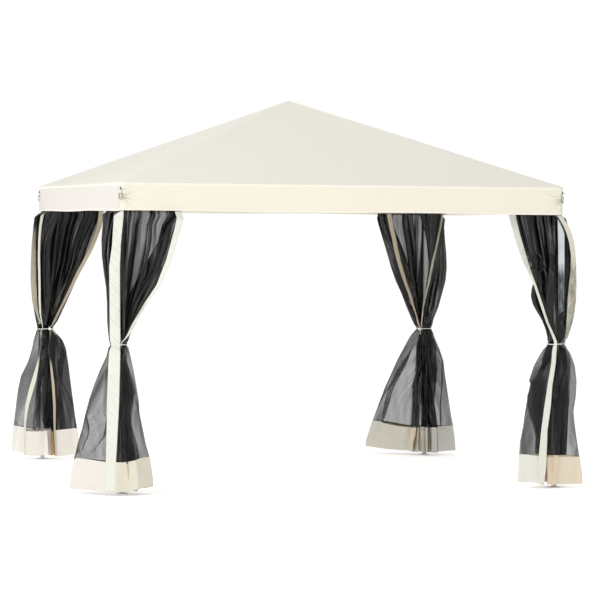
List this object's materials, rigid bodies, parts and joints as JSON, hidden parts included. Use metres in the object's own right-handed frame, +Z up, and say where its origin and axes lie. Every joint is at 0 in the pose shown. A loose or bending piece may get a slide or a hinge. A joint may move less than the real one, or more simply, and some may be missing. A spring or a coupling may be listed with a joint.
{
  "type": "pop-up canopy tent",
  "caption": "Square pop-up canopy tent with a cream pyramid roof on a folding steel frame and black net curtains tied back at the legs.",
  "frame": {"origin": "on the ground at the middle of the tent's square plan", "axes": "+Z up, -Y towards the front side, +X to the right seen from the front"},
  "size_m": [3.436, 3.216, 2.558],
  "materials": {
    "powder_coat": "white powder-coated steel tube, semi-gloss",
    "nylon": "moulded white nylon fittings, satin",
    "roof_cloth": "cream coated polyester, plain weave",
    "net": "black polyester insect net, see-through",
    "curtain_cloth": "cream polyester skirt, corner strip and zip tape",
    "cord": "white braided elastic cord with a round toggle"
  },
  "bodies": {
    "root": {"leg_outer_front_left": "powder_coat", "leg_inner_front_left": "powder_coat", "corner_head_front_left": "nylon", "corner_slider_front_left": "nylon", "net_curtain_front_left": "net", "skirt_front_left": "curtain_cloth", "tie_front_left": "cord", "leg_outer_front_right": "powder_coat", "leg_inner_front_right": "powder_coat", "corner_head_front_right": "nylon", "corner_slider_front_right": "nylon", "net_curtain_front_right": "net", "skirt_front_right": "curtain_cloth", "tie_front_right": "cord", "leg_outer_back_right": "powder_coat", "leg_inner_back_right": "powder_coat", "corner_head_back_right": "nylon", "corner_slider_back_right": "nylon", "net_curtain_back_right": "net", "skirt_back_right": "curtain_cloth", "tie_back_right": "cord", "leg_outer_back_left": "powder_coat", "leg_inner_back_left": "powder_coat", "corner_head_back_left": "nylon", "corner_slider_back_left": "nylon", "net_curtain_back_left": "net", "skirt_back_left": "curtain_cloth", "tie_back_left": "cord", "truss_front": "powder_coat", "centre_arm_front": "powder_coat", "roof_panel_front": "roof_cloth", "valance_front": "roof_cloth", "truss_right": "powder_coat", "centre_arm_right": "powder_coat", "roof_panel_right": "roof_cloth", "valance_right": "roof_cloth", "truss_back": "powder_coat", "centre_arm_back": "powder_coat", "roof_panel_back": "roof_cloth", "valance_back": "roof_cloth", "truss_left": "powder_coat", "centre_arm_left": "powder_coat", "roof_panel_left": "roof_cloth", "valance_left": "roof_cloth", "hub_upper": "nylon", "hub_lower": "nylon", "centre_pole": "powder_coat"}
  },
  "joints": []
}
